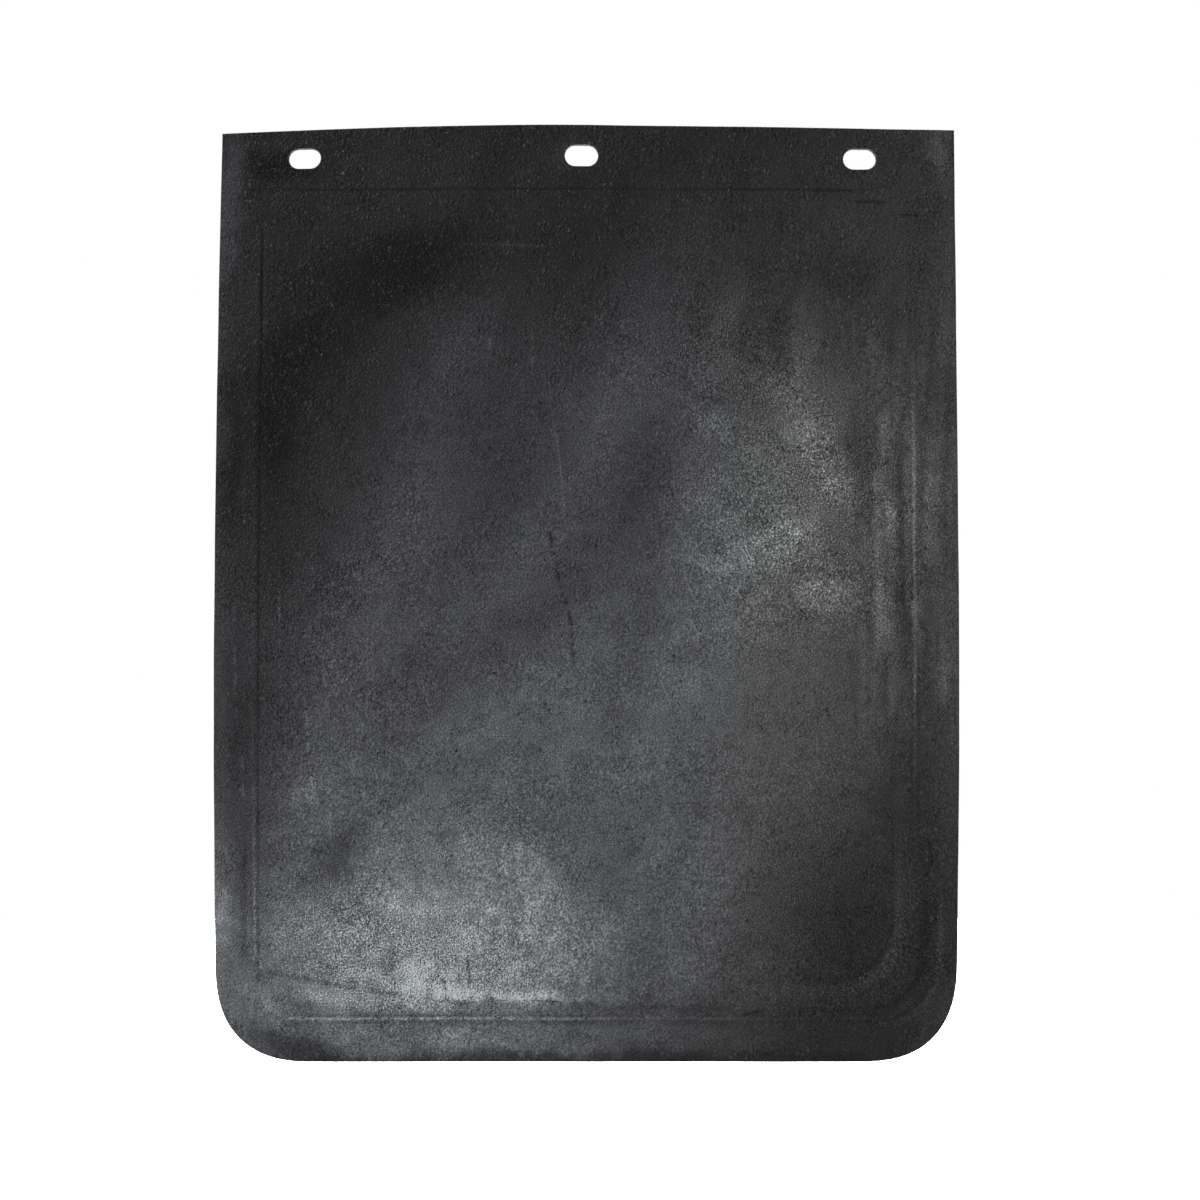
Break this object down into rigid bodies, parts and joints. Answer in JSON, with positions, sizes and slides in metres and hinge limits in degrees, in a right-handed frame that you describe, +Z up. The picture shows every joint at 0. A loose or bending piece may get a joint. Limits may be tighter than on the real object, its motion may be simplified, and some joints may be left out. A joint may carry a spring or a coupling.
{
  "type": "mud flap",
  "caption": "Rectangular rubber mud flap with square top corners, rounded bottom corners and a row of slotted bolt holes along its top edge.",
  "frame": {"origin": "middle of the centre slot, on the flap's back face", "axes": "+Z up as the flap hangs, -Y out of the front of the flap, +X to the right seen from the front"},
  "size_m": [0.61, 0.0095, 0.762],
  "materials": {
    "cover_rubber": "matte press-moulded rubber with fine pits, grey bloom and scuffs",
    "core_rubber": "cut rubber, dull black",
    "ply_textile": "rubber-coated woven textile"
  },
  "bodies": {
    "root": {"front_cover": "cover_rubber", "front_ply": "ply_textile", "core_layer": "core_rubber", "rear_ply": "ply_textile", "rear_cover": "cover_rubber"}
  },
  "joints": []
}
